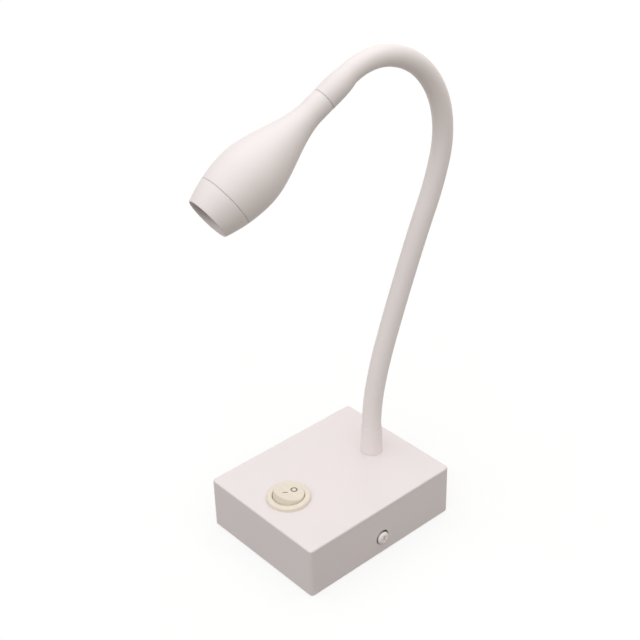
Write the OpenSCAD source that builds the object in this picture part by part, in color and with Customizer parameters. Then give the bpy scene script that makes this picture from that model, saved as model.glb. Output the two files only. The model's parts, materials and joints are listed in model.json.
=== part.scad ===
// Bedside reading wall light: a flat metal base with a round rocker switch,
// a flexible arm in a smooth sleeve and a small lamp head with a recessed lens.
// Origin: middle of the base's wall face. +Z points out of the wall,
// +X from the switch towards the arm.

/* [Base] */
// Length of the base along X
base_l = 100; // [92:1:140]
// Width of the base along Y
base_w = 80; // [76:1:120]
// Depth of the base out of the wall
base_h = 30; // [30:0.5:45]
// Radius of the upright corners
corner_r = 2; // [2:0.5:6]
// Radius round the front face
edge_r = 1; // [0.5:0.1:1.8]
// Thickness of the cover's sheet
wall_t = 1.5; // [1:0.1:2]

/* [Wall plate] */
// Thickness of the wall plate
plate_t = 1.5; // [1:0.1:2.5]
// Gap between the wall plate and the cover
plate_gap = 0.5; // [0.3:0.1:0.8]
// Distance between the two wall screw holes
wall_hole_spacing = 60; // [50:1:70]
// Diameter of the wall screw holes
wall_hole_d = 4.5; // [4:0.1:6]
// Bore of the cable grommet
inlet_d = 8; // [6:0.5:9]
// Thickness of the grommet's rubber
grommet_wall = 2; // [1.5:0.1:3]
// Width of the two upright tabs
tab_w = 16; // [12:1:24]
// Height of the tabs above the middle of their screws
tab_rise = 6; // [5:0.5:9]

/* [Cover screws] */
// Height of the cover screws above the wall
cover_screw_z = 10; // [8:0.5:14]
// Thread diameter of the cover screws
cover_screw_d = 4; // [3:0.5:4]
// Head diameter of the cover screws
cover_head_d = 7.2; // [6:0.1:8]
// Head height of the cover screws
cover_head_h = 3.4; // [2.2:0.1:3.4]
// Hole in the cover round each screw head
cover_hole_d = 8.6; // [8.6:0.1:10]
// Length of the cover screws under the head
cover_screw_l = 7; // [6:0.5:9]

/* [Switch] */
// Distance of the switch from its end of the base
switch_in = 20; // [14:1:22]
// Turn of the switch seen from the front
switch_turn = 0; // [-45:1:45]
// Diameter of the switch bezel
bezel_d = 23.6; // [22.4:0.1:26]
// Height of the switch bezel
bezel_h = 2.1; // [2:0.1:3]
// Diameter of the switch barrel in the panel
barrel_d = 20; // [19.6:0.1:21]
// Depth of the switch barrel behind the front face
barrel_l = 16; // [15.6:0.1:18]
// Radius of the ball that the rocker's side is part of
rocker_r = 8.5; // [8.4:0.1:9]
// Tilt of the rocker from its middle to either side
rocker_tilt = 9; // [6:1:11]
// Height of the rocker's valley above its pivot
rocker_rise = 3; // [2.5:0.1:3.4]
// Diameter of the rocker's pivot pins
pivot_d = 1.8; // [1.4:0.1:2]
// Distance from the rocker's pivot to the tip of its plunger
plunger_reach = 9; // [8.6:0.1:9.4]
// Tilt of the contact lever from its middle to either side
lever_tilt = 5; // [3:1:6]

/* [Arm] */
// Distance of the arm from its end of the base
arm_in = 19.5; // [12:0.5:24]
// Outer diameter of the sleeve
sleeve_d = 10.5; // [10.2:0.1:11]
// Bore of the sleeve
sleeve_bore = 8.6; // [8.4:0.1:9]
// Outer diameter of the flexible core
core_d = 8; // [7.4:0.1:8]
// Bore of the flexible core
core_bore = 5; // [4.4:0.1:5.2]
// Diameter of the two-core lead in the arm
lead_d = 3.4; // [2.6:0.1:3.8]
// Length of each of the ten stretches of the arm
stretch_l = 25.75; // [24:0.25:32]
// Turn of the plane in which the arm is bent, about the arm's foot
arm_turn = -6; // [-30:1:30]
// Diameter of the rounded nose on which each stretch turns
nose_d = 6.8; // [6.2:0.1:7]
// Space between neighbouring stretches at the rim
stretch_gap = 2.4; // [2.2:0.1:3]

/* [Ferrules] */
// Outer diameter of the ferrule on the base
base_ferrule_d = 11.8; // [11.6:0.1:14]
// Length of the ferrule on the base
base_ferrule_l = 17; // [15:0.5:21]
// Outer diameter of the ferrule on the head
head_ferrule_d = 12.4; // [11.8:0.1:14]
// Length of the ferrule on the head
head_ferrule_l = 15.5; // [14:0.5:20]
// Length of the taper at the sleeve's end of each ferrule
taper_l = 5; // [3:0.5:6]
// Depth of the sleeve in each ferrule
ferrule_grip = 7.5; // [6:0.5:9]
// Thread diameter of the tube that holds the arm on the base
base_nipple_d = 10; // [9:0.5:10.5]
// Bore of the tube that holds the arm on the base
base_nipple_bore = 6.5; // [5.6:0.1:7]

/* [Head] */
// Length of the head from its neck to its mouth
head_l = 77; // [74:0.1:86]
// Diameter of the head's neck
neck_d = 12.2; // [12:0.1:14]
// Largest diameter of the head
head_d = 31.9; // [31:0.1:36]
// Outer diameter of the mouth
mouth_d = 22.7; // [21:0.1:24]
// Bore of the mouth
mouth_bore = 21.4; // [18:0.1:22]
// Length of the straight neck
neck_l = 7.5; // [7:0.5:12]
// Distance from the widest place to the mouth
nose_l = 25.5; // [24:0.1:30]
// Length of the front bezel
front_l = 11.6; // [11:0.1:15]
// Depth of the front bezel's spigot in the shell
spigot_l = 6; // [5:0.5:7]
// Room for the light source and its lens behind the spigot
optic_l = 16.8; // [15:0.1:20]
// Bore of the shell behind the front bezel
shell_bore = 25.2; // [24.6:0.1:25.6]
// Thread diameter of the tube that holds the head
head_nipple_d = 8; // [7:0.5:8.5]

/* [Hidden] */
$fn = 64;

// Clearance of a close fit, and of pieces that only pass each other
fit = 0.05;
gap = 0.3;
// Overshoot of cuts
cut = 1;

// Rest shape of the arm: turn of each stretch, away from the switch where positive
stretch_angle = [11.5, 6.5, 1.5, 1, 2, -9, -25, -29.5, -35.5, -45];
last = len(stretch_angle) - 1;

// Heading of the arm from the vertical where stretch k starts
function heading(k) = k == 0 ? 0 : heading(k - 1) + stretch_angle[k - 1];
function along(a) = [sin(a) * cos(arm_turn), sin(a) * sin(arm_turn), cos(a)];
// Level direction square to the plane of the arm
arm_side = [-sin(arm_turn), cos(arm_turn), 0];
// Straight distance between the ends of an arc of this length and turn
function chord(l, t) = t == 0 ? l : 2 * l / (t * PI / 180) * sin(t / 2);
arm_x = base_l / 2 - arm_in;
// Depth in the base's ferrule at which the arm starts to bend
foot_in = 1.5;
arm_foot = [arm_x, 0, base_h + base_ferrule_l - foot_in];
// Place where stretch k starts, which is the middle of joint k
function joint_at(k) = k == 0 ? arm_foot :
    joint_at(k - 1) + chord(stretch_l, stretch_angle[k - 1])
        * along(heading(k - 1) + stretch_angle[k - 1] / 2);

head_heading = heading(last + 1);
seam = joint_at(last + 1) + head_ferrule_l * along(head_heading);
joint_list = [for (k = [1:last]) [k, joint_at(k), heading(k)]];
echo(joints = joint_list, seam = seam, head_heading = head_heading);

// Derived sizes of the base
switch_x = switch_in - base_l / 2;
inner_top = base_h - wall_t;
plate_l = base_l - 2 * wall_t - 2 * plate_gap;
plate_w = base_w - 2 * wall_t - 2 * plate_gap;
tab_h = cover_screw_z + tab_rise;
nut_h = 3.2;
grommet_d = inlet_d + 2 * grommet_wall;
grommet_h = 2.5;

// Terminal block and driver stand on the wall plate
block_size = [26, 14, 12];
// Space between the tails of the cover screws and what stands beside them
tail_gap = 2;
clear_y = plate_w / 2 - cover_screw_l - tail_gap;
block_y = block_size[1] / 2 - clear_y;
block_pitch = 8;
insert_d = 5;
insert_bore = 3;
block_screw_d = 2.6;
slot_w = 0.5;
slot_depth = 0.8;
driver_size = [48, 16, 17];
driver_y = clear_y - driver_size[1] / 2;
driver_wall = 1.5;
driver_lid_t = 1.5;
board_t = 1.6;
// Coil and capacitor stand to either side of the board's middle
part_x = 9;
coil_flange = 10;
coil_flange_t = 1.5;
coil_d = 9;
coil_l = 5;
can_d = 8;
can_h = 9;
can_rim = 0.8;
ear_l = 7;
ear_t = 2;
ear_screw_d = 3;
earth_in = [8, 14];
earth_at = [earth_in[0] - plate_l / 2, plate_w / 2 - earth_in[1]];
earth_d = 4;
// Proportions of small screws and nuts to their thread
screw_head = 1.9;
screw_crown = 0.7;
nut_ratio = 1.75;
washer_t = 1;
washer_rim = 3.5;
lock_nut_h = 4;
lock_nut_rim = 2;
nipple_tail = 3;
nipple_foot = inner_top - washer_t - lock_nut_h - nipple_tail;

// Derived sizes of the switch, measured from the front face of the base
cavity_r = rocker_r + gap;
pivot_z = 0.4;
bezel_edge = 0.9;
rocker_depth = 3;
pin_end = barrel_d / 2 - 2 * fit;
tube_d = 4.6;
tube_bore = 3;
tube_end = 7.2;
tip_r = 1.2;
plunger_l = 4.4;
spring_wire = 0.4;
lever_t = 0.6;
lever_w = 3;
lever_half = 6.6;
// Running gap between plunger and lever, and between closed contacts
contact_gap = 0.15;
lever_top = pivot_z - plunger_reach - contact_gap;
boss_r = 0.8;
// Height of the strip above the lever's pivot
lever_lift = 0.2;
lever_pivot_z = lever_top - lever_t - lever_lift;
well = [16, 6.4];
floor_t = 2;
blade_t = 0.8;
blade_w = 4.8;
blade_l = 8;
contact_x = 5.4;
rivet_d = 2.4;
rivet_h = 0.8;
saddle_wall = 0.6;
wire_d = 2;

// Thickness of a ferrule's edge round the sleeve
ferrule_lip = 0.25;

// Counts of flat sides round the sleeve and round a lead
sleeve_side_count = 24;
lead_side_count = 8;

// Derived sizes of the head, measured along its axis from the neck
belly_s = head_l - nose_l;
front_s = head_l - front_l;
spigot_s = front_s - spigot_l;
slug_s = spigot_s - optic_l;
slug_t = 4;
pad_hole_y = 7;
pad_hole_d = 2;
led_d = 6;
led_h = 1.4;
led_base_h = 0.6;
led_s = slug_s + slug_t + board_t;
lens_d = 20;
lens_back_d = 8;
lens_s = led_s + led_h + gap;
lens_rim = 1.5;
lens_front_s = spigot_s + lens_rim / 2;
lens_lip = 0.8;
neck_hole_d = 5;
seal_d = 1.4;
neck_bore_l = 10;
lead_end_s = -2;

function smooth(t) = t * t * (3 - 2 * t);
// Outer radius of the head: a neck that swells into the belly, then a blunt nose
function head_r(s) =
    s <= neck_l ? neck_d / 2 :
    s <= belly_s ? neck_d / 2 + (head_d - neck_d) / 2 * smooth((s - neck_l) / (belly_s - neck_l)) :
    head_d / 2 - (head_d - mouth_d) / 2 * pow((s - belly_s) / (head_l - belly_s), 2);
function head_outline(s0, s1, n) = [for (i = [0:n]) let (s = s0 + (s1 - s0) * i / n) [head_r(s), s]];

// Places
module on_switch() translate([switch_x, 0, base_h]) rotate([0, 0, switch_turn]) children();
module on_rocker() on_switch() translate([0, 0, pivot_z]) rotate([0, rocker_tilt, 0]) children();
module on_lever() on_switch() translate([0, 0, lever_pivot_z]) rotate([0, -lever_tilt, 0]) children();
module on_joint(k) translate(joint_at(k)) rotate([0, heading(k), arm_turn]) children();
module on_head() translate(seam) rotate([0, head_heading, arm_turn]) children();
module on_tabs() for (turn = [0, 180]) rotate([0, 0, turn])
    translate([0, plate_w / 2, cover_screw_z]) rotate([-90, 0, 0]) children();

// Upright block with round corners and, where e > 0, a round front edge
module edge_profile(r, h, e) {
    square([r, h - e]);
    if (e > 0) {
        square([r - e, h]);
        translate([r - e, h - e]) circle(r = e);
    }
}

module rounded_block(l, w, h, r, e = 0) {
    translate([r - l / 2, r - w / 2, 0]) cube([l - 2 * r, w - 2 * r, h]);
    for (q = [0:3]) {
        half = q % 2 == 0 ? [l / 2 - r, w / 2 - r] : [w / 2 - r, l / 2 - r];
        rotate([0, 0, 90 * q]) {
            translate([half[0], half[1], 0]) rotate_extrude(angle = 90) edge_profile(r, h, e);
            translate([half[0], half[1], 0]) rotate([90, 0, 0])
                linear_extrude(2 * half[1]) edge_profile(r, h, e);
        }
    }
}

module pipe(d, bore, h) difference() {
    cylinder(d = d, h = h);
    translate([0, 0, -cut]) cylinder(d = bore, h = h + 2 * cut);
}

module ring(d, bore) difference() {
    circle(d = d);
    circle(d = bore);
}

// Sweeps a section along stretch k, ending short of the next joint
module stretch(k, short = 0) {
    t = stretch_angle[k];
    part = (stretch_l - short) / stretch_l;
    on_joint(k)
        if (t == 0) linear_extrude(stretch_l - short) children();
        else {
            r = stretch_l / (abs(t) * PI / 180);
            side = t > 0 ? 1 : -1;
            translate([side * r, 0, 0]) rotate([0, 0, t > 0 ? 180 : 0]) rotate([90, 0, 0])
                rotate_extrude(angle = abs(t) * part, $fn = 96) translate([r, 0]) children();
        }
}

// Hinge cylinder of joint k: odd joints bend the arm, even joints swing it sideways
module hinge(k, d, w) rotate(k % 2 == 1 ? [90, 0, 0] : [0, 90, 0]) cylinder(d = d, h = w, center = true);

// Smooth curve from p[0] to p[3] that sets out towards p[1] and comes in from p[2]: [place, way] pairs
function unit(v) = v / norm(v);
function curve_at(p, t) = pow(1 - t, 3) * p[0] + 3 * t * pow(1 - t, 2) * p[1]
    + 3 * t * t * (1 - t) * p[2] + pow(t, 3) * p[3];
function curve_way(p, t) = pow(1 - t, 2) * (p[1] - p[0]) + 2 * t * (1 - t) * (p[2] - p[1])
    + t * t * (p[3] - p[2]);
function route(p, n) = [for (i = [0:n]) [curve_at(p, i / n), curve_way(p, i / n)]];

// Round tube along [place, way] pairs
module tube(line, d, side_ref, side_count = lead_side_count)
    skin([for (p = line) let (
        way = unit(p[1]),
        u = unit(cross(way, side_ref)),
        v = cross(way, u))
        [for (j = [0:side_count - 1]) let (a = 360 * j / side_count)
            p[0] + d / 2 * (cos(a) * u + sin(a) * v)]], false);

module base_cover() color("white") difference() {
    rounded_block(base_l, base_w, base_h, corner_r, edge_r);
    translate([0, 0, -cut]) rounded_block(base_l - 2 * wall_t, base_w - 2 * wall_t,
        inner_top + cut, max(corner_r - wall_t, fit));
    translate([switch_x, 0, inner_top - cut]) cylinder(d = barrel_d + 2 * fit, h = wall_t + 2 * cut);
    translate([arm_x, 0, inner_top - cut]) cylinder(d = base_nipple_d + 2 * fit, h = wall_t + 2 * cut);
    on_tabs() cylinder(d = cover_hole_d, h = base_w / 2 - plate_w / 2 + cut);
}

module wall_plate() color("gainsboro") difference() {
    union() {
        translate([-plate_l / 2, -plate_w / 2, 0]) cube([plate_l, plate_w, plate_t]);
        for (side = [-1, 1]) translate([-tab_w / 2, side * (plate_w - plate_t) / 2 - plate_t / 2, 0])
            cube([tab_w, plate_t, tab_h]);
    }
    for (side = [-1, 1]) translate([side * wall_hole_spacing / 2, 0, -cut])
        cylinder(d = wall_hole_d, h = plate_t + 2 * cut);
    translate([0, 0, -cut]) cylinder(d = grommet_d, h = plate_t + 2 * cut);
    on_tabs() translate([0, 0, -plate_t - cut]) cylinder(d = cover_screw_d + 2 * gap, h = plate_t + 2 * cut);
    on_driver_ears() translate([0, 0, -cut - plate_t]) cylinder(d = ear_screw_d, h = plate_t + 2 * cut);
    translate([earth_at[0], earth_at[1], -cut]) cylinder(d = earth_d, h = plate_t + 2 * cut);
}

module cable_grommet() color("dimgray") difference() {
    union() {
        cylinder(d = grommet_d, h = plate_t);
        translate([0, 0, plate_t]) cylinder(d = grommet_d + 2 * grommet_wall, h = grommet_h);
    }
    translate([0, 0, -cut]) cylinder(d = inlet_d, h = plate_t + grommet_h + 2 * cut);
}

// Pan-head screw with a cross recess, head upwards on z = 0
module pan_screw(d, length, head_d, head_h) difference() {
    crown_h = 0.4 * head_h;
    crown_d = 0.62 * head_d;
    cross_l = 0.56 * head_d;
    cross_w = 0.14 * head_d;
    cross_depth = 0.55 * head_h;
    union() {
        translate([0, 0, -length]) cylinder(d = d, h = length);
        cylinder(d = head_d, h = head_h - crown_h);
        translate([0, 0, head_h - crown_h]) cylinder(d1 = head_d, d2 = crown_d, h = crown_h);
    }
    for (turn = [0, 90]) rotate([0, 0, turn]) translate([-cross_l / 2, -cross_w / 2, head_h - cross_depth])
        cube([cross_l, cross_w, head_h]);
}

module hex_nut(af, d, h) difference() {
    cylinder(d = af / cos(30), h = h, $fn = 6);
    translate([0, 0, -cut]) cylinder(d = d + 2 * fit, h = h + 2 * cut);
}

module cover_screws() color("white") on_tabs()
    pan_screw(cover_screw_d, cover_screw_l, cover_head_d, cover_head_h);

module cover_nuts() color("silver") on_tabs() translate([0, 0, -plate_t - nut_h])
    hex_nut(nut_ratio * cover_screw_d, cover_screw_d, nut_h);

module on_poles() for (i = [-1:1])
    translate([i * block_pitch, block_y, plate_t + block_size[2] / 2]) children();

module terminal_block() color("ivory") difference() {
    translate([-block_size[0] / 2, block_y - block_size[1] / 2, plate_t]) cube(block_size);
    on_poles() {
        rotate([90, 0, 0]) cylinder(d = insert_d + 2 * fit, h = block_size[1] + 2 * cut, center = true);
        cylinder(d = block_screw_d + 2 * fit, h = block_size[2]);
    }
}

module terminal_inserts() color("goldenrod") on_poles() difference() {
    rotate([90, 0, 0]) cylinder(d = insert_d, h = block_size[1], center = true);
    rotate([90, 0, 0]) cylinder(d = insert_bore, h = block_size[1] + 2 * cut, center = true);
    cylinder(d = block_screw_d + 2 * fit, h = insert_d);
}

module terminal_screws() color("silver") on_poles() difference() {
    translate([0, 0, wire_d / 2 + fit]) cylinder(d = block_screw_d, h = block_size[2] / 2 - wire_d / 2 - fit);
    translate([-block_screw_d, -slot_w / 2, block_size[2] / 2 - slot_depth])
        cube([2 * block_screw_d, slot_w, slot_depth + cut]);
}

module earth_screw() color("silver") translate([earth_at[0], earth_at[1], plate_t])
    pan_screw(earth_d - 2 * fit, plate_t, screw_head * earth_d, screw_crown * earth_d);

module on_driver() translate([0, driver_y, plate_t]) children();
module on_driver_ears() on_driver() for (side = [-1, 1])
    translate([side * (driver_size[0] + ear_l) / 2, 0, 0]) children();

module driver_case() color("whitesmoke") difference() {
    on_driver() {
        translate([-driver_size[0] / 2, -driver_size[1] / 2, 0]) cube(driver_size - [0, 0, driver_lid_t]);
        translate([-driver_size[0] / 2 - ear_l, -ear_l / 2, 0])
            cube([driver_size[0] + 2 * ear_l, ear_l, ear_t]);
    }
    on_driver() translate([driver_wall - driver_size[0] / 2, driver_wall - driver_size[1] / 2, driver_wall])
        cube(driver_size - [2 * driver_wall, 2 * driver_wall, 0]);
    on_driver_ears() translate([0, 0, -cut]) cylinder(d = ear_screw_d + 2 * fit, h = ear_t + 2 * cut);
}

module driver_lid() color("gainsboro") on_driver() translate([0, 0, driver_size[2] - driver_lid_t]) {
    translate([-driver_size[0] / 2, -driver_size[1] / 2, 0])
        cube([driver_size[0], driver_size[1], driver_lid_t]);
    lip = [driver_size[0], driver_size[1]] - 2 * [driver_wall + fit, driver_wall + fit];
    translate([-lip[0] / 2, -lip[1] / 2, -driver_lid_t]) cube([lip[0], lip[1], driver_lid_t]);
}

module on_board() on_driver() translate([0, 0, driver_wall]) children();

module driver_board() color("seagreen") on_board() {
    board = [driver_size[0], driver_size[1]] - 2 * [driver_wall + fit, driver_wall + fit];
    translate([-board[0] / 2, -board[1] / 2, 0]) cube([board[0], board[1], board_t]);
}

module driver_coil() color("goldenrod") on_board() translate([part_x, 0, board_t]) {
    for (z = [0, coil_flange_t + coil_l]) translate([-coil_flange / 2, -coil_flange / 2, z])
        cube([coil_flange, coil_flange, coil_flange_t]);
    translate([0, 0, coil_flange_t]) cylinder(d = coil_d, h = coil_l);
}

module driver_capacitor() color("black") on_board() translate([-part_x, 0, board_t]) {
    cylinder(d = can_d, h = can_h);
    translate([0, 0, can_h]) cylinder(d1 = can_d, d2 = can_d - 2 * can_rim, h = can_rim);
}

module driver_screws() color("silver") on_driver_ears() translate([0, 0, ear_t])
    pan_screw(ear_screw_d - 2 * fit, ear_t + plate_t, screw_head * ear_screw_d, screw_crown * ear_screw_d);

module switch_body() color("ivory") on_switch() difference() {
    union() {
        translate([0, 0, -barrel_l]) cylinder(d = barrel_d, h = barrel_l);
        cylinder(d = bezel_d, h = bezel_h - bezel_edge);
        translate([0, 0, bezel_h - bezel_edge])
            cylinder(d1 = bezel_d, d2 = bezel_d - 2 * bezel_edge, h = bezel_edge);
    }
    translate([0, 0, pivot_z - rocker_r]) cylinder(r = cavity_r, h = rocker_r + bezel_h + cut);
    translate([-well[0] / 2, -well[1] / 2, floor_t - barrel_l]) cube([well[0], well[1], barrel_l]);
    translate([0, 0, pivot_z]) rotate([90, 0, 0])
        cylinder(d = pivot_d + 2 * fit, h = 2 * (pin_end + fit), center = true);
    for (x = [0, contact_x]) translate([x - blade_t / 2 - fit, -blade_w / 2 - fit, -barrel_l - cut])
        cube([blade_t + 2 * fit, blade_w + 2 * fit, barrel_l]);
}

module rocker() color("ivory") on_rocker() difference() {
    union() {
        intersection() {
            sphere(r = rocker_r, $fn = 96);
            rotate([90, 0, 0]) translate([0, 0, -rocker_r]) linear_extrude(2 * rocker_r) polygon([
                [-rocker_r, -rocker_depth], [rocker_r, -rocker_depth],
                [rocker_r, rocker_rise + rocker_r * tan(rocker_tilt)], [0, rocker_rise],
                [-rocker_r, rocker_rise + rocker_r * tan(rocker_tilt)]]);
        }
        rotate([90, 0, 0]) cylinder(d = pivot_d, h = 2 * pin_end, center = true);
        translate([0, 0, -tube_end]) cylinder(d = tube_d, h = tube_end);
    }
    translate([0, 0, -tube_end - cut]) cylinder(d = tube_bore, h = tube_end + cut);
}

module plunger() color("whitesmoke") on_rocker() translate([0, 0, tip_r - plunger_reach]) {
    sphere(r = tip_r, $fn = 48);
    cylinder(d = tube_bore - 2 * fit, h = plunger_l);
}

// Coil spring between the plunger's back and the bottom of the rocker's bore
module rocker_spring() color("silver") on_rocker() {
    turn_count = 6;
    step_count = 12 * turn_count;
    coil_r = (tube_bore - spring_wire) / 2 - fit;
    low = tip_r - plunger_reach + plunger_l + spring_wire / 2 + fit;
    rise = -spring_wire / 2 - fit - low;
    climb = rise / (2 * PI * turn_count);
    tube([for (i = [0:step_count]) let (a = 360 * turn_count * i / step_count)
        [[coil_r * cos(a), coil_r * sin(a), low + rise * i / step_count],
            [-coil_r * sin(a), coil_r * cos(a), climb]]], spring_wire, [0, 0, 1], 6);
}

// Shallow V of brass strip that rocks on the saddle of the common terminal
module contact_lever() color("goldenrod") on_lever() {
    base_z = lever_top - lever_t - lever_pivot_z;
    for (turn = [0, 180]) rotate([0, 0, turn]) translate([0, lever_w / 2, base_z]) rotate([90, 0, 0])
        linear_extrude(lever_w) polygon([[0, 0], [lever_half, lever_half * tan(lever_tilt)],
            [lever_half, lever_half * tan(lever_tilt) + lever_t], [0, lever_t]]);
    rotate([90, 0, 0]) cylinder(r = boss_r, h = lever_w, center = true);
}

module blade(top) translate([-blade_t / 2, -blade_w / 2, -barrel_l - blade_l])
    cube([blade_t, blade_w, blade_l + barrel_l + top]);

module common_terminal() color("goldenrod") on_switch() difference() {
    union() {
        blade(lever_pivot_z);
        translate([-boss_r - saddle_wall, -blade_w / 2, floor_t - barrel_l])
            cube([2 * (boss_r + saddle_wall), blade_w, lever_pivot_z + barrel_l - floor_t]);
    }
    translate([0, 0, lever_pivot_z]) rotate([90, 0, 0])
        cylinder(r = boss_r + fit, h = blade_w + 2 * cut, center = true);
}

module switched_terminal() color("goldenrod") on_switch() translate([contact_x, 0, 0]) {
    rivet_z = lever_top - lever_t - contact_gap - rivet_h;
    blade(rivet_z);
    translate([0, 0, rivet_z]) cylinder(d = rivet_d, h = rivet_h);
}

module base_nipple() color("silver") translate([arm_x, 0, nipple_foot])
    pipe(base_nipple_d, base_nipple_bore, arm_foot[2] - ferrule_grip - gap - nipple_foot);

module lock_washer() color("silver") translate([arm_x, 0, inner_top - washer_t])
    pipe(base_nipple_d + 2 * washer_rim, base_nipple_d + 2 * fit, washer_t);

module lock_nut() color("silver") translate([arm_x, 0, inner_top - washer_t - lock_nut_h])
    hex_nut(base_nipple_d + 2 * lock_nut_rim, base_nipple_d, lock_nut_h);

// Ferrule that stands on z = 0 and narrows to a thin lip round the sleeve at its top
module tapered_ferrule(d, l) {
    cylinder(d = d, h = l - taper_l);
    translate([0, 0, l - taper_l]) cylinder(d1 = d, d2 = sleeve_d + 2 * fit + 2 * ferrule_lip, h = taper_l);
}

module base_ferrule() color("white") translate([arm_x, 0, base_h]) difference() {
    tapered_ferrule(base_ferrule_d, base_ferrule_l);
    translate([0, 0, -cut]) cylinder(d = base_nipple_d + 2 * fit, h = base_ferrule_l + 2 * cut);
    translate([0, 0, base_ferrule_l - foot_in - ferrule_grip])
        cylinder(d = sleeve_d + 2 * fit, h = foot_in + ferrule_grip + cut);
}

// One stretch of the spiral-wound core, turning on its nose in the cup below it
module arm_core(k) color("gray") difference() {
    union() {
        stretch(k, k < last ? stretch_gap : 0) ring(core_d, core_bore);
        on_joint(k) if (k == 0) translate([0, 0, -ferrule_grip]) pipe(core_d, core_bore, ferrule_grip);
        else intersection() {
            translate([0, 0, -core_d]) pipe(core_d, core_bore, core_d);
            hinge(k, nose_d, 2 * core_d);
        }
        if (k == last) on_joint(last + 1) translate([0, 0, -fit])
            pipe(core_d - 2 * fit, core_bore + 2 * fit, ferrule_grip + fit);
    }
    if (k < last) on_joint(k + 1) hinge(k + 1, nose_d + 4 * fit, 2 * core_d);
}
module arm_core_0() arm_core(0);
module arm_core_1() arm_core(1);
module arm_core_2() arm_core(2);
module arm_core_3() arm_core(3);
module arm_core_4() arm_core(4);
module arm_core_5() arm_core(5);
module arm_core_6() arm_core(6);
module arm_core_7() arm_core(7);
module arm_core_8() arm_core(8);
module arm_core_9() arm_core(9);

// Middle line of the arm as [place, heading], with more points where it turns more
function stretch_steps(k) = ceil(abs(stretch_angle[k]) / 6) + 1;
arm_line = [for (k = [0:last], i = [0:stretch_steps(k) - 1]) let (
    part = i / stretch_steps(k),
    turn = part * stretch_angle[k])
    [joint_at(k) + chord(part * stretch_l, turn) * along(heading(k) + turn / 2), heading(k) + turn]];
function full_line(foot, tip) = concat([[arm_foot - [0, 0, foot], 0]], arm_line,
    [[joint_at(last + 1), head_heading], [joint_at(last + 1) + tip * along(head_heading), head_heading]]);
function arm_ring(p, d, sides) = [for (j = [0:sides - 1])
    p[0] + d / 2 * (cos(360 * j / sides) * along(p[1] + 90) + sin(360 * j / sides) * arm_side)];

// Closed skin over rings of equal count, each ring joined to the next
module skin(rings, closed) {
    sides = len(rings[0]);
    n = len(rings);
    walls = [for (i = [0:(closed ? n : n - 1) - 1], j = [0:sides - 1]) let (
        a = i * sides + j,
        b = i * sides + (j + 1) % sides,
        c = (i + 1) % n * sides + j,
        d = (i + 1) % n * sides + (j + 1) % sides)
        each [[a, b, c], [b, d, c]]];
    caps = closed ? [] : [for (j = [1:sides - 2])
        each [[0, j + 1, j], [(n - 1) * sides, (n - 1) * sides + j, (n - 1) * sides + j + 1]]];
    polyhedron([for (r = rings) each r], concat(walls, caps), convexity = 8);
}

module arm_sleeve() color("white") {
    line = full_line(ferrule_grip, ferrule_grip);
    inner = [for (i = [len(line) - 1:-1:0]) arm_ring(line[i], sleeve_bore, sleeve_side_count)];
    skin(concat([for (p = line) arm_ring(p, sleeve_d, sleeve_side_count)], inner), true);
}

module arm_lead() color("lightgray")
    skin([for (p = full_line(arm_foot[2] - nipple_foot, head_ferrule_l + lead_end_s))
        arm_ring(p, lead_d, lead_side_count)], false);

module head_ferrule() color("white") on_head() rotate([180, 0, 0]) difference() {
    tapered_ferrule(head_ferrule_d, head_ferrule_l);
    translate([0, 0, head_ferrule_l - ferrule_grip]) cylinder(d = sleeve_d + 2 * fit, h = ferrule_grip + cut);
    translate([0, 0, -cut]) cylinder(d = head_nipple_d + 2 * fit, h = head_ferrule_l + 2 * cut);
}

module head_nipple() color("silver") on_head() translate([0, 0, ferrule_grip + gap - head_ferrule_l])
    pipe(head_nipple_d, neck_hole_d, head_ferrule_l - ferrule_grip - gap + neck_bore_l - gap);

module head_shell() color("white") on_head() difference() {
    rotate_extrude() polygon(concat([[0, 0], [neck_d / 2, 0]], head_outline(neck_l, front_s, 30),
        [[0, front_s]]));
    translate([0, 0, -cut]) cylinder(d = head_nipple_d + 2 * fit, h = neck_bore_l + cut);
    cylinder(d = neck_hole_d, h = slug_s);
    translate([0, 0, slug_s]) cylinder(d = shell_bore, h = head_l);
}

module heat_slug() color("silver") on_head() translate([0, 0, slug_s]) difference() {
    cylinder(d = shell_bore - 2 * fit, h = slug_t);
    translate([0, 0, -cut]) cylinder(d = neck_hole_d, h = slug_t + 2 * cut);
}

module led_board() color("whitesmoke") on_head() translate([0, 0, slug_s + slug_t]) difference() {
    cylinder(d = lens_d, h = board_t);
    for (side = [-1, 1]) translate([0, side * pad_hole_y, -cut])
        cylinder(d = pad_hole_d, h = board_t + 2 * cut);
}

module led_chip() color("khaki") on_head() translate([0, 0, led_s]) {
    translate([-led_d / 2, -led_d / 2, 0]) cube([led_d, led_d, led_base_h]);
    translate([0, 0, led_base_h]) cylinder(d1 = led_d - led_base_h, d2 = led_d / 2, h = led_h - led_base_h);
}

module lens() color("aliceblue", 0.6) on_head() rotate_extrude()
    polygon([[0, lens_s], [lens_back_d / 2, lens_s], [lens_d / 2, lens_front_s - lens_rim],
        [lens_d / 2, lens_front_s], [0, lens_front_s]]);

module lens_holder() color("dimgray") on_head() translate([0, 0, slug_s + slug_t])
    pipe(shell_bore - 2 * fit, lens_d + 2 * fit, spigot_s - fit - slug_s - slug_t);

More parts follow.
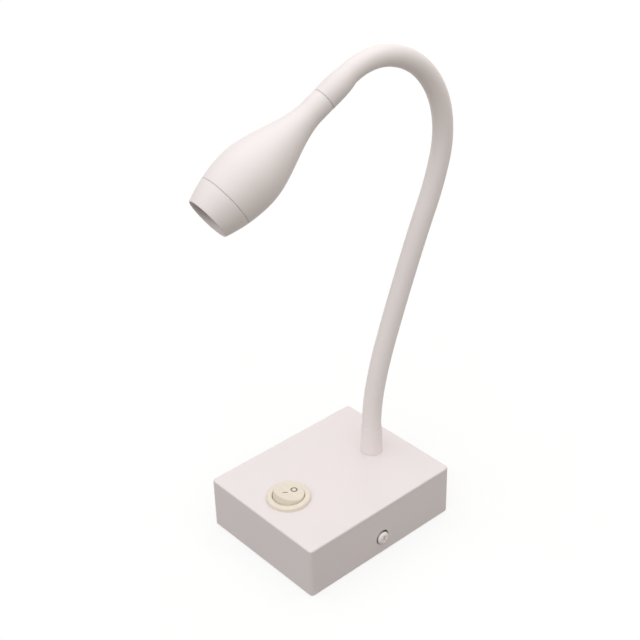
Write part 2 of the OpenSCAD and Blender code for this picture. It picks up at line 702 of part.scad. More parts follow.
module front_bezel() color("white") on_head() difference() {
    union() {
        rotate_extrude() polygon(concat([[0, front_s]], head_outline(front_s, head_l, 12), [[0, head_l]]));
        translate([0, 0, spigot_s]) cylinder(d = shell_bore - 2 * fit, h = spigot_l + fit);
    }
    mouth_l = head_l - lens_front_s;
    flare = cut * (mouth_bore - lens_d + 2 * lens_lip) / mouth_l;
    translate([0, 0, lens_front_s - cut])
        cylinder(d1 = lens_d - 2 * lens_lip - flare, d2 = mouth_bore + flare, h = mouth_l + 2 * cut);
    translate([0, 0, spigot_s - cut]) cylinder(d = lens_d + 2 * fit, h = lens_front_s - spigot_s + cut);
    translate([0, 0, front_s - seal_d - gap]) rotate_extrude()
        translate([shell_bore / 2 - seal_d - fit, 0]) square([seal_d + cut, seal_d]);
}

module bezel_seal() color("black") on_head() translate([0, 0, front_s - seal_d - gap])
    rotate_extrude() translate([shell_bore / 2 - seal_d, fit]) square([seal_d - fit, seal_d - 2 * fit]);

module head_lead() color("lightgray") on_head() translate([0, 0, lead_end_s + fit])
    cylinder(d = lead_d, h = slug_s + slug_t - lead_end_s - 2 * fit);

// Wires inside the base: one gentle curve each, straight for a short way at both ends
wire_run = 8;
wire_dip = 9;
port_z = 10;
switched_port_x = -12;
neutral_port_x = 6;
led_port_x = 16;
function from_switch(p) = [switch_x + p[0] * cos(switch_turn) - p[1] * sin(switch_turn),
    p[0] * sin(switch_turn) + p[1] * cos(switch_turn), base_h + p[2]];
solder_z = -barrel_l - blade_l / 2;
pole_y = block_y + block_size[1] / 2;
pole_z = plate_t + block_size[2] / 2;
driver_side = driver_y - driver_size[1] / 2 - fit;
// Straight start in a pole of the terminal block, and the ends of a curve: at a pole,
// on the edge or the face of a switch blade, and at a hole in the driver's side
function in_pole(x) = [[[x, pole_y - wire_dip, pole_z], [0, 1, 0]]];
function at_pole(x) = [[x, pole_y, pole_z], [x, pole_y + wire_run, pole_z]];
function at_edge(x) = [from_switch([x, -blade_w / 2 - fit - wire_run, solder_z]),
    from_switch([x, -blade_w / 2 - fit, solder_z])];
function at_face(x) = [from_switch([x + blade_t / 2 + fit, 0, solder_z]),
    from_switch([x + blade_t / 2 + fit + wire_run, 0, solder_z])];
function at_port(x) = [[x, driver_side - wire_run, port_z], [x, driver_side, port_z]];

module live_wire() color("saddlebrown")
    tube(concat(in_pole(-block_pitch), route(concat(at_pole(-block_pitch), at_edge(0)), 14)),
        wire_d, [0, 0, 1]);

module switched_wire() color("black")
    tube(route(concat(at_face(contact_x), at_port(switched_port_x)), 12), wire_d, [0, 0, 1]);

module neutral_wire() color("royalblue")
    tube(concat(in_pole(block_pitch), route(concat(at_pole(block_pitch), at_port(neutral_port_x)), 12)),
        wire_d, [0, 0, 1]);

module led_wire() color("lightgray") tube(route(concat([[arm_x, 0, nipple_foot - fit],
    [arm_x, 0, nipple_foot - wire_run]], at_port(led_port_x)), 12), lead_d, [-1, 1, 0]);

base_cover();
wall_plate();
cable_grommet();
cover_screws();
cover_nuts();
terminal_block();
terminal_inserts();
terminal_screws();
earth_screw();
driver_case();
driver_lid();
driver_board();
driver_coil();
driver_capacitor();
driver_screws();
switch_body();
rocker();
plunger();
rocker_spring();
contact_lever();
common_terminal();
switched_terminal();
live_wire();
switched_wire();
neutral_wire();
led_wire();
base_nipple();
lock_washer();
lock_nut();
base_ferrule();
arm_core_0();
arm_core_1();
arm_core_2();
arm_core_3();
arm_core_4();
arm_core_5();
arm_core_6();
arm_core_7();
arm_core_8();
arm_core_9();
arm_sleeve();
arm_lead();
head_ferrule();
head_nipple();
head_shell();
heat_slug();
led_board();
led_chip();
lens();
lens_holder();
front_bezel();
bezel_seal();
head_lead();
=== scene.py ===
# %% [markdown]
# # A bedside reading light
# The light is a flat steel box for the wall, a bendy arm in a smooth white sleeve and a
# small turned head shaped like a skittle. Its working solids come packed as a fixed
# frame, in metres, and that frame gives the places and the main sizes. This lesson adds
# the finishes, and models again the pieces whose edges and curves a close look asks for.

# %% Load the frame
import json
import math

import bmesh
import bpy
from mathutils import Matrix, Vector


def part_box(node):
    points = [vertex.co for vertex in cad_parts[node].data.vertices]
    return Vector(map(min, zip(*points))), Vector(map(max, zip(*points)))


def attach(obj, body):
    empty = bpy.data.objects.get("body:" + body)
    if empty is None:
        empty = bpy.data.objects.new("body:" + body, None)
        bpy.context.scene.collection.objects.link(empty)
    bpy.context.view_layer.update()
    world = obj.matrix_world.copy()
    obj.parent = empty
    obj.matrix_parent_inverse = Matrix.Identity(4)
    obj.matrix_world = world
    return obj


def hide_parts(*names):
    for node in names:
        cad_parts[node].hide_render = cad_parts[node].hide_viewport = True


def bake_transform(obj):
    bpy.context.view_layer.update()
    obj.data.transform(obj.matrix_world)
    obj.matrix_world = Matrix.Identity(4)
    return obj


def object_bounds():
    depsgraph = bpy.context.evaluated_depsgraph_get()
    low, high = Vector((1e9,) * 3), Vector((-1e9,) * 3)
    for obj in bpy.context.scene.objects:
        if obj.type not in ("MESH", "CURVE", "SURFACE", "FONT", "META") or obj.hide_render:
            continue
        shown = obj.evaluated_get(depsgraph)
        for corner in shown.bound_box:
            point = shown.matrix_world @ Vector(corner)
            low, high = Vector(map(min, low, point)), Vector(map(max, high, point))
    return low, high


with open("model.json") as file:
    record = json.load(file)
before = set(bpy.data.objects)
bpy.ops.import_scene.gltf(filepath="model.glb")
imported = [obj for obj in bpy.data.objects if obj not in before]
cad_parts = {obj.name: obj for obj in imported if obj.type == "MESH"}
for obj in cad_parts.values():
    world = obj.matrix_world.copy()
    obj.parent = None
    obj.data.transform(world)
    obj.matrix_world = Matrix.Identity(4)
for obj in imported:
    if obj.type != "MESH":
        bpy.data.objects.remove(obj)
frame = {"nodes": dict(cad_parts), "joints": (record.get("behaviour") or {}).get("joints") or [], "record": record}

cad_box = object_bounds()
mm = 0.001
tiny = 1e-6
scene = bpy.context.scene

# %% [markdown]
# ## Camera
# The light lies on its back and is seen from above its switch end, from about 60 cm
# away. A camera can be turned with three angles, but an eye, a point to look at and a
# small roll say the same in words that can be measured on the spot.

# %% Set up the camera
eye = Vector((-0.36544, -0.41390, 0.46827))
aim = Vector((-0.0047, 0, 0.12905))
roll = math.radians(-1.555)
sensor_width = 36
focal_length = 73.088

camera = bpy.data.objects.new("camera", bpy.data.cameras.new("camera"))
camera.data.sensor_width = sensor_width
camera.data.lens = focal_length
look = (aim - eye).to_track_quat("-Z", "Y").to_matrix().to_4x4()
camera.matrix_world = Matrix.Translation(eye) @ look @ Matrix.Rotation(roll, 4, "Z")
scene.collection.objects.link(camera)
scene.camera = camera
print("camera stands", round((aim - eye).length, 3), "m from what it looks at")

# %% [markdown]
# ## Writing shaders as sums
# A finish in Blender is a web of nodes. Wiring nodes one by one hides the idea, so a
# small class wraps a socket: adding or multiplying two wires adds a Math node, and one
# method makes every other kind of node. A colour goes through a Mix node, because a
# Math node would turn it grey.

# %% Wrap a socket
class Wire:
    """A socket in one node tree. Sums on wires add Math nodes to that tree."""

    def __init__(self, tree, socket=None):
        self.tree = tree
        self.socket = socket

    def node(self, kind, settings, inputs, output=0):
        """Add a node: first its settings, then the values or links of its sockets."""
        made = self.tree.nodes.new("ShaderNode" + kind)
        for name, setting in settings.items():
            setattr(made, name, setting)
        for name, value in inputs.items():
            if isinstance(value, Wire):
                self.tree.links.new(value.socket, made.inputs[name])
            else:
                made.inputs[name].default_value = value
        return Wire(self.tree, made.outputs[output] if made.outputs else None)

    def math(self, operation, first, second):
        return self.node("Math", {"operation": operation}, {0: first, 1: second})

    def mix(self, share, first, second):
        return self.node("Mix", {"data_type": "RGBA"}, {0: share, 6: first, 7: second}, 2)

    def __add__(self, other):
        return self.math("ADD", self, other)

    def __sub__(self, other):
        return self.math("SUBTRACT", self, other)

    def __rsub__(self, other):
        return self.math("SUBTRACT", other, self)

    def __mul__(self, other):
        return self.math("MULTIPLY", self, other)

    __radd__ = __add__
    __rmul__ = __mul__


# %% [markdown]
# ## Studio
# The light is shown on a white table under a large soft lamp, a little to the left of
# it, with a weak lamp at its right. Sun lamps with a wide angle give such soft light,
# and a pale, slightly warm world fills the shade. The table and the sky are white to the
# camera and to mirrors only. To the light that bounces about they are darker, so the
# white paint still has shade on it.

# %% Start a node tree
def begin(owner):
    """Empty the node tree of a world or a material and return a wire to build it with."""
    owner.use_nodes = True
    owner.node_tree.nodes.clear()
    return Wire(owner.node_tree)


def seen_directly(start):
    """1 where the camera, a mirror or clear glass looks at the surface, 0 elsewhere."""
    camera_ray = start.node("LightPath", {}, {}, "Is Camera Ray")
    mirror_ray = start.node("LightPath", {}, {}, "Is Glossy Ray")
    glass_ray = start.node("LightPath", {}, {}, "Is Transmission Ray")
    return start.math("MAXIMUM", start.math("MAXIMUM", camera_ray, mirror_ray), glass_ray)


# %% Light the studio
white = (1, 1, 1, 1)
fill = (0.383, 0.349, 0.298, 1)
world = bpy.data.worlds.new("studio")
sky = begin(world)
fill_light = sky.node("Background", {}, {"Color": fill})
white_sky = sky.node("Background", {}, {"Color": white})
shown_sky = sky.node("MixShader", {}, {0: seen_directly(sky), 1: fill_light, 2: white_sky})
sky.node("OutputWorld", {}, {"Surface": shown_sky})
scene.world = world

lamps = {
    "key_lamp": dict(at=Vector((-0.28, -0.1, 0.95)), energy=2.18, colour=(0.92, 0.947, 1), spread=110),
    "side_lamp": dict(at=Vector((0.9, 0.05, 0.35)), energy=0.42, colour=(1, 0.96, 0.92), spread=90),
}
for name, kind in lamps.items():
    lamp = bpy.data.objects.new(name, bpy.data.lights.new(name, "SUN"))
    lamp.data.energy = kind["energy"]
    lamp.data.color = kind["colour"]
    lamp.data.angle = math.radians(kind["spread"])
    lamp.matrix_world = kind["at"].to_track_quat("Z", "Y").to_matrix().to_4x4()
    scene.collection.objects.link(lamp)
    print(name, "stands", round(math.degrees(kind["at"].angle((0, 0, 1)))), "degrees off the vertical")

# %% Lay the table
table_half = 3
table_gap = 0.2 * mm
table_grey = (0.25, 0.23, 0.21, 1)
glow = 0.75

table_mesh = bmesh.new()
bmesh.ops.create_grid(table_mesh, x_segments=1, y_segments=1, size=table_half)
bmesh.ops.translate(table_mesh, vec=(0, 0, cad_box[0][2] - table_gap), verts=table_mesh.verts)
table_data = bpy.data.meshes.new("table")
table_mesh.to_mesh(table_data)
table_mesh.free()

table_finish = bpy.data.materials.new("table")
top = begin(table_finish)
matt = top.node("BsdfDiffuse", {}, {"Color": table_grey})
glowing = top.node("Emission", {}, {"Color": white, "Strength": glow})
shaded = top.node("BsdfDiffuse", {}, {"Color": (1 - glow, 1 - glow, 1 - glow, 1)})
bright = top.node("AddShader", {}, {0: glowing, 1: shaded})
shown_top = top.node("MixShader", {}, {0: seen_directly(top), 1: matt, 2: bright})
top.node("OutputMaterial", {}, {"Surface": shown_top})
table_data.materials.append(table_finish)

table = bpy.data.objects.new("table", table_data)
scene.collection.objects.link(table)
print("table lies", table_gap / mm, "mm under the light")

# %% [markdown]
# ## Finishes
# Paint, plastic and metal all drift a little in tone from place to place and have a
# fine grain that breaks up the shine. One function makes that: a wide noise mixes two
# near tones, and a fine texture sets the roughness and a shallow bump. Sizes are in
# metres on Object coordinates, so the grain is as fine on the head as on the base.

# %% Make a finish
def finish(name, tones, patch, grain, depth, rough, texture="TexNoise", constants=None, painted_shade=None):
    """A surface that drifts between two tones over a patch, with a grain of this depth.

    The last argument is a tone of painted shade and a function that tells where it falls.
    """
    material = bpy.data.materials.new(name)
    start = begin(material)
    place = start.node("TexCoord", {}, {}, "Object")
    drift = start.node("TexNoise", {}, {"Vector": place, "Scale": 1 / patch, "Detail": 3})
    skin = start.node(texture, {}, {"Vector": place, "Scale": 1 / grain})
    shine = rough[0] + (rough[1] - rough[0]) * skin
    bump = start.node("Bump", {}, {"Height": skin, "Distance": depth})
    colour = start.mix(drift, (*tones[0], 1), (*tones[1], 1))
    # Mix in a tone of painted shade where the given mask says.
    if painted_shade:
        shade_tone, where_shaded = painted_shade
        colour = start.mix(where_shaded(start, place), colour, (*shade_tone, 1))
    sockets = {"Base Color": colour, "Roughness": shine, "Normal": bump, **(constants or {})}
    shader = start.node("BsdfPrincipled", {}, sockets)
    start.node("OutputMaterial", {}, {"Surface": shader})
    return material


# %% [markdown]
# ### White paint
# The base, the head and the ferrules are metal with a satin white coat, baked on as
# powder. It is slightly warm, and its skin has the shallow dimples of powder paint,
# about half a millimetre wide and a few thousandths deep.

# %% Mix the paints
paint_warm = (0.83, 0.765, 0.765)
paint_cool = (0.80, 0.755, 0.76)
head_warm = (0.90, 0.835, 0.825)
head_cool = (0.87, 0.83, 0.825)
paint_skin = dict(patch=22 * mm, grain=0.6 * mm, depth=0.006 * mm, rough=(0.38, 0.5))
finishes = {
    "cover_paint": finish("cover_paint", (paint_warm, paint_cool), **paint_skin),
    "head_paint": finish("head_paint", (head_warm, head_cool), **paint_skin),
    "ferrule_paint": finish("ferrule_paint", (head_warm, head_cool), **paint_skin),
    "screw_paint": finish("screw_paint", ((0.95, 0.89, 0.88), (0.90, 0.84, 0.83)),
                          patch=3 * mm, grain=0.3 * mm, depth=0.01 * mm, rough=(0.3, 0.45)),
}
print("paints:", ", ".join(finishes))

# %% [markdown]
# ### Plastics and rubber
# The arm's sleeve is soft white PVC, which is smoother than the paint. The switch is
# moulded in ivory nylon with a faint spark-eroded texture. The wires inside have the
# usual coloured jackets.

# %% Mix the plastics
fine_mould = dict(patch=9 * mm, grain=0.25 * mm, depth=0.003 * mm)
matt_mould = dict(patch=12 * mm, grain=0.4 * mm, depth=0.006 * mm)
finishes["sleeve"] = finish("sleeve", ((0.92, 0.865, 0.855), (0.90, 0.85, 0.845)),
                            patch=30 * mm, grain=0.9 * mm, depth=0.005 * mm, rough=(0.36, 0.46))
finishes["switch_ivory"] = finish("switch_ivory", ((0.82, 0.745, 0.64), (0.79, 0.72, 0.61)),
                                  rough=(0.32, 0.45), **fine_mould)
finishes["plunger_nylon"] = finish("plunger_nylon", ((0.80, 0.79, 0.75), (0.74, 0.73, 0.69)),
                                   rough=(0.45, 0.6), **matt_mould)
finishes["holder_black"] = finish("holder_black", ((0.05, 0.048, 0.046), (0.03, 0.03, 0.03)),
                                  rough=(0.45, 0.6), **matt_mould)
finishes["grommet_rubber"] = finish("grommet_rubber", ((0.05, 0.05, 0.05), (0.035, 0.035, 0.036)),
                                    rough=(0.6, 0.8), **matt_mould)
finishes["capacitor_can"] = finish("capacitor_can", ((0.03, 0.03, 0.04), (0.05, 0.05, 0.06)),
                                   rough=(0.2, 0.3), **fine_mould)
jackets = {
    "lead_jacket": ((0.70, 0.70, 0.70), (0.64, 0.64, 0.65)),
    "live_jacket": ((0.30, 0.15, 0.07), (0.24, 0.12, 0.055)),
    "switched_jacket": ((0.03, 0.03, 0.03), (0.045, 0.045, 0.045)),
    "neutral_jacket": ((0.05, 0.16, 0.55), (0.04, 0.13, 0.46)),
}
for slot, tones in jackets.items():
    finishes[slot] = finish(slot, tones, rough=(0.35, 0.5), **matt_mould)
print("finishes so far:", len(finishes))

# %% [markdown]
# ### Metals
# The wall plate and the small fixings are zinc-plated steel, darkened in a last bath.
# Zinc has a pattern of flat crystals, which a Voronoi texture gives. Brass, the wound
# core and turned aluminium are plainer, so noise is enough.

# %% Mix the metals
metal = {"Metallic": 1.0}
finishes["plate_steel"] = finish("plate_steel", ((0.30, 0.30, 0.31), (0.22, 0.225, 0.235)),
                                 patch=14 * mm, grain=5 * mm, depth=0.01 * mm, rough=(0.3, 0.55),
                                 texture="TexVoronoi", constants=metal)
finishes["core_steel"] = finish("core_steel", ((0.45, 0.45, 0.46), (0.36, 0.36, 0.38)),
                                patch=4 * mm, grain=0.5 * mm, depth=0.02 * mm, rough=(0.35, 0.5),
                                constants=metal)
finishes["contact_brass"] = finish("contact_brass", ((0.78, 0.57, 0.25), (0.66, 0.46, 0.19)),
                                   patch=5 * mm, grain=0.4 * mm, depth=0.005 * mm, rough=(0.25, 0.4),
                                   constants=metal)
finishes["slug_aluminium"] = finish("slug_aluminium", ((0.72, 0.72, 0.73), (0.62, 0.62, 0.64)),
                                    patch=6 * mm, grain=0.3 * mm, depth=0.006 * mm, rough=(0.3, 0.45),
                                    constants=metal)
print("finishes so far:", len(finishes))

# %% [markdown]
# ### The light source
# Deep in the head, a yellow phosphor chip sits on a white board behind a clear acrylic
# lens. The driver in the base has a green board, a taped coil and a black capacitor.

# %% Mix the finishes of the light source
finishes["board"] = finish("board", ((0.05, 0.30, 0.14), (0.03, 0.22, 0.10)), patch=5 * mm,
                           grain=1.2 * mm, depth=0.02 * mm, rough=(0.3, 0.45), texture="TexVoronoi")
finishes["led_board_white"] = finish("led_board_white", ((0.85, 0.85, 0.84), (0.78, 0.78, 0.77)),
                                     patch=4 * mm, grain=0.4 * mm, depth=0.004 * mm, rough=(0.3, 0.4))
finishes["coil_wrap"] = finish("coil_wrap", ((0.75, 0.60, 0.12), (0.62, 0.48, 0.08)), patch=3 * mm,
                               grain=1.5 * mm, depth=0.02 * mm, rough=(0.3, 0.4), texture="TexWave")
finishes["led_phosphor"] = finish("led_phosphor", ((0.85, 0.70, 0.18), (0.72, 0.56, 0.12)), patch=1 * mm,
                                  grain=0.15 * mm, depth=0.01 * mm, rough=(0.35, 0.6))
finishes["lens_clear"] = finish("lens_clear", ((0.97, 0.98, 0.98), (0.94, 0.96, 0.97)), patch=8 * mm,
                                grain=1.4 * mm, depth=0.03 * mm, rough=(0.02, 0.08),
                                texture="TexVoronoi", constants={"Transmission Weight": 1.0, "IOR": 1.49})
slot_of = {row["node"]: row["material_slot"] for row in frame["record"]["subparts"]}
print("slots without a finish:", sorted(set(slot_of.values()) - set(finishes)))

# %% [markdown]
# ## Handing a mesh over
# Every new piece goes the same way: merge what spinning left double, turn the faces
# outwards, shade smooth with sharp creases, give it the finish of the solid that it
# stands for, and let it ride on that solid's body. Its place stays in the mesh.

# %% Make pieces
crease = math.radians(35)


def piece(name, bm, node, body=None, finish_name=None):
    """Turn a bmesh into an object that stands for a node and rides on a body.

    A piece without a body rides on no body.
    """
    bmesh.ops.remove_doubles(bm, verts=bm.verts, dist=tiny)
    bmesh.ops.recalc_face_normals(bm, faces=bm.faces)
    open_edges = sum(not edge.is_manifold for edge in bm.edges)
    mesh = bpy.data.meshes.new(name)
    bm.to_mesh(mesh)
    bm.free()
    mesh.shade_smooth()
    mesh.set_sharp_from_angle(angle=crease)
    slot = finish_name or slot_of[node]
    mesh.materials.append(finishes[slot])
    thing = bpy.data.objects.new(name, mesh)
    scene.collection.objects.link(thing)
    if body:
        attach(thing, body)
    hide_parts(node)
    print(name, len(mesh.polygons), "faces,", open_edges, "open edges")
    return thing


def round_off(bm, geom, radius, affect="EDGES", segments=5):
    return bmesh.ops.bevel(bm, geom=geom, offset=radius, offset_type="OFFSET", affect=affect,
                           segments=segments, profile=0.5, material=-1)


def only(kind, items):
    """The vertices, edges or faces among what an operator made."""
    return [item for item in items if isinstance(item, kind)]


def draw_out(bm, edges):
    """Extrude edges in place, and return the new vertices and the edges between them."""
    made = bmesh.ops.extrude_edge_only(bm, edges=edges)["geom"]
    vertices = only(bmesh.types.BMVert, made)
    return vertices, [edge for edge in only(bmesh.types.BMEdge, made)
                      if all(vertex in vertices for vertex in edge.verts)]


def flat_edges(bm, height):
    """The edges that lie at this height."""
    return [edge for edge in bm.edges if all(abs(v.co.z - height) < tiny for v in edge.verts)]


# %% [markdown]
# ## Base cover
# The cover is a pressed steel box, open towards the wall, with soft upright corners and
# tighter radii round its front and its back. A cube with bevels in that order is how a
# press tool would shape it. The inside is an inset of the open face, pushed in. The
# holes are circles that the flat walls are filled round, and bridges join the two sides.
# The holes for the screws lie a little high, so each screw sits low in its hole.

# %% Press the box
corner_radius = 2 * mm
front_radius = 1 * mm
back_radius = 0.8 * mm
sheet = 1.5 * mm
low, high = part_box("base_cover")

cover = bmesh.new()
bmesh.ops.create_cube(cover, size=1)
bmesh.ops.scale(cover, vec=high - low, verts=cover.verts)
bmesh.ops.translate(cover, vec=(low + high) / 2, verts=cover.verts)
upright = [edge for edge in cover.edges if abs(edge.verts[0].co.z - edge.verts[1].co.z) > sheet]
round_off(cover, upright, corner_radius, segments=10)
round_off(cover, flat_edges(cover, high.z), front_radius, segments=6)
round_off(cover, flat_edges(cover, low.z), back_radius, segments=4)

back = min(cover.faces, key=lambda face: face.calc_center_median().z)
bmesh.ops.inset_region(cover, faces=[back], thickness=sheet - back_radius, use_even_offset=True)
hollow = only(bmesh.types.BMVert, bmesh.ops.extrude_face_region(cover, geom=[back])["geom"])
bmesh.ops.translate(cover, vec=(0, 0, high.z - sheet - low.z), verts=hollow)
bmesh.ops.delete(cover, geom=[back], context="FACES_ONLY")
print("cover measures", [round(side / mm, 1) for side in high - low], "mm")

# %% Cut the holes
hole_sides = 64


def pierce(bm, axis, levels, holes):
    """Cut round holes, as (centre, radius) pairs, through the flat walls at two levels."""
    rings = [[] for hole in holes]
    for level in levels:
        wall = max((face for face in bm.faces
                    if abs(face.calc_center_median().dot(axis) - level) < tiny
                    and abs(face.normal.dot(axis)) > 1 - tiny),
                   key=lambda face: face.calc_area())
        edges = list(wall.edges)
        bmesh.ops.delete(bm, geom=[wall], context="FACES_ONLY")
        for ring, (centre, radius) in zip(rings, holes):
            spot = centre + axis * (level - centre.dot(axis))
            stand = Matrix.Translation(spot) @ axis.to_track_quat("Z", "Y").to_matrix().to_4x4()
            made = bmesh.ops.create_circle(bm, segments=hole_sides, radius=radius, matrix=stand)
            ring.append(list({edge for vertex in made["verts"] for edge in vertex.link_edges}))
            edges += ring[-1]
        bmesh.ops.triangle_fill(bm, use_beauty=True, edges=edges, normal=axis)
    for ring in rings:
        bmesh.ops.bridge_loops(bm, edges=ring[0] + ring[1])


joints = {joint["name"]: joint for joint in frame["joints"]}
switch_at = Vector(joints["rocker_press"]["pos_m"])
collar_low, collar_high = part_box("base_ferrule")
arm_at = (collar_low + collar_high) / 2
screw_low, screw_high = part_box("cover_screws")
screw_height = (screw_low.z + screw_high.z) / 2

switch_hole = 10.05 * mm
arm_hole = 5.05 * mm
screw_hole = 4.3 * mm
screw_drop = 0.4 * mm
front = Vector((0, 0, 1))
pierce(cover, front, (high.z, high.z - sheet), [(switch_at, switch_hole), (arm_at, arm_hole)])
screw_spot = Vector((0, 0, screw_height + screw_drop))
for side in (Vector((0, 1, 0)), Vector((0, -1, 0))):
    pierce(cover, side, (high.y, high.y - sheet), [(screw_spot, screw_hole)])
cover_piece = piece("cover_shell", cover, "base_cover", "base")
flatten = cover_piece.modifiers.new("flat walls", "WEIGHTED_NORMAL")
flatten.keep_sharp = True

# %% [markdown]
# ## Turned pieces
# Screws, ferrules, the switch body and the whole head are round about one axis, so each
# is an outline spun right round, the way a lathe makes it. Corners of the outline are
# rounded first, with a bevel on its points.

# %% Spin an outline
def turned(points, soft, closed=True, steps=96, bm=None):
    """Spin (radius, height) points about Z. soft maps a point's number to its rounding."""
    bm = bm or bmesh.new()
    old = set(bm.verts)
    corners = [bm.verts.new((radius, 0, height)) for radius, height in points]
    nexts = corners[1:] + (corners[:1] if closed else [])
    for first, second in zip(corners, nexts):
        bm.edges.new((first, second))
    for number, radius in soft.items():
        round_off(bm, [corners[number]], radius, "VERTICES", segments=4)
    outline = [vertex for vertex in bm.verts if vertex not in old]
    edges = {edge for vertex in outline for edge in vertex.link_edges}
    bmesh.ops.spin(bm, geom=outline + list(edges), cent=(0, 0, 0), axis=(0, 0, 1),
                   angle=2 * math.pi, steps=steps, use_merge=True, use_duplicate=False)
    return bm


def sink(bm, rim, island, depth, taper=1.0):
    """Fill between a round rim and an island of faces, then press the island down."""
    border = [edge for edge in {edge for face in island for edge in face.edges}
              if len(edge.link_faces) == 1]
    bmesh.ops.triangle_fill(bm, use_beauty=True, edges=rim + border, normal=(0, 0, 1))
    floor = only(bmesh.types.BMVert, bmesh.ops.extrude_face_region(bm, geom=island)["geom"])
    bmesh.ops.translate(bm, vec=(0, 0, -depth), verts=floor)
    bmesh.ops.scale(bm, vec=(taper, taper, 1), verts=floor)
    bmesh.ops.delete(bm, geom=island, context="FACES")


# %% [markdown]
# ## Cover screws
# One white screw holds the cover on each long side. Its flat head stands on a narrow
# neck over a larger hole, so a dark crescent shows beside it. The cross recess is a
# small grid of nine squares without its corners, filled round and pressed in.

# %% Turn the screws
screw_head_radius = 3.6 * mm
screw_head_height = 3.6 * mm
shoulder = 2.9 * mm
crown_radius = 2.6 * mm
under_head = 2 * mm
neck_under = 2.6 * mm
thread_radius = 2 * mm
thread_length = 7 * mm
cross_half = 2 * mm
cross_width = 1 * mm
cross_depth = 1.5 * mm
cross_taper = 0.6
screw_head_edge = 0.6 * mm
under_edge = 0.2 * mm
screw_seat = 38 * mm


def pan_screw():
    bm = turned([(crown_radius, screw_head_height), (screw_head_radius, shoulder),
                 (screw_head_radius, under_head), (neck_under, under_head), (neck_under, 0),
                 (thread_radius, 0), (thread_radius, -thread_length), (0, -thread_length)],
                {1: screw_head_edge, 2: under_edge}, closed=False, steps=48)
    bmesh.ops.remove_doubles(bm, verts=bm.verts, dist=tiny)
    rim = flat_edges(bm, screw_head_height)
    grid = bmesh.ops.create_grid(bm, x_segments=3, y_segments=3, size=cross_half,
                                 matrix=Matrix.Translation((0, 0, screw_head_height)))["verts"]
    squeeze = cross_width / 2 / (cross_half / 3)
    for axis, factors in enumerate(((squeeze, 1, 1), (1, squeeze, 1))):
        inner = [vertex for vertex in grid if abs(vertex.co[axis]) < cross_half / 2]
        bmesh.ops.scale(bm, vec=factors, verts=inner)
    squares = list({face for vertex in grid for face in vertex.link_faces})
    middle = cross_width / 2
    corners = [face for face in squares
               if min(abs(face.calc_center_median().x), abs(face.calc_center_median().y)) > middle]
    bmesh.ops.delete(bm, geom=corners, context="FACES")
    sink(bm, rim, [face for face in squares if face.is_valid], cross_depth, cross_taper)
    return bm


for name, side in (("cover_screw_near", -1), ("cover_screw_far", 1)):
    screw = pan_screw()
    stand = Matrix.Translation((0, side * screw_seat, screw_height))
    bmesh.ops.transform(screw, verts=screw.verts,
                        matrix=stand @ Matrix.Rotation(-side * math.pi / 2, 4, "X"))
    piece(name, screw, "cover_screws", "base")

# %% [markdown]
# ## Switch
# The round rocker switch snaps into the cover from the front: a barrel, and a bezel
# with a soft edge that covers the hole. Below the rocker a narrow well holds its
# contacts. The outline is spun, and the well is sunk in the floor like the cross of a
# screw.

# %% Turn the switch body
across = -Vector(joints["rocker_press"]["axis"])
switch_turn = Matrix.Rotation(math.atan2(-across.x, across.y), 4, "Z")
switch_stand = Matrix.Translation((switch_at.x, switch_at.y, high.z)) @ switch_turn

cavity_radius = 8.65 * mm
cavity_floor = -8.4 * mm
bezel_radius = 11.8 * mm
bezel_height = 2.1 * mm
bezel_inner_edge = 0.5 * mm
bezel_outer_edge = 1 * mm
barrel_radius = 10 * mm
barrel_depth = 16 * mm
well_half = (8 * mm, 3.2 * mm)
well_depth = 5.6 * mm

body = turned([(cavity_radius, cavity_floor), (cavity_radius, bezel_height), (bezel_radius, bezel_height),
               (bezel_radius, 0), (barrel_radius, 0), (barrel_radius, -barrel_depth), (0, -barrel_depth)],
              {1: bezel_inner_edge, 2: bezel_outer_edge}, closed=False)
bmesh.ops.remove_doubles(body, verts=body.verts, dist=tiny)
well = bmesh.ops.create_grid(body, x_segments=1, y_segments=1, size=1)["verts"]
bmesh.ops.scale(body, vec=(*well_half, 1), verts=well)
bmesh.ops.translate(body, vec=(0, 0, cavity_floor), verts=well)
floor_rim = [edge for edge in flat_edges(body, cavity_floor) if edge.verts[0] not in well]
sink(body, floor_rim, list(well[0].link_faces), well_depth)
bmesh.ops.transform(body, verts=body.verts, matrix=switch_stand)
piece("switch_bezel", body, "switch_body", "base")

# %% [markdown]
# ### Rocker
# The rocker's top is a shallow V, and its sides swell to their widest at the pivot, so
# that it clears the bezel as it tips. It starts as a flat disc with a crease across it.
# Each half leans up from the crease by its own slope, the crease is rounded to a soft
# valley, and then the rim is drawn down to make the sides and rounded as well.

# %% Shape the rocker
ball = 8.5 * mm
top_radius = 8.1 * mm
rocker_rise = 2.8 * mm
rocker_depth = 3 * mm
rocker_tilt = math.radians(9)
slopes = {-1: math.radians(11), 1: math.radians(6)}
rim_radius = 0.5 * mm
valley_radius = 0.5 * mm


def draw_down(bm, edges, factor, height):
    """Extrude a rim to a level circle at this height and return its edges."""
    lower, lower_edges = draw_out(bm, edges)
    bmesh.ops.scale(bm, vec=(factor, factor, 0), verts=lower)
    bmesh.ops.translate(bm, vec=(0, 0, height), verts=lower)
    return lower_edges


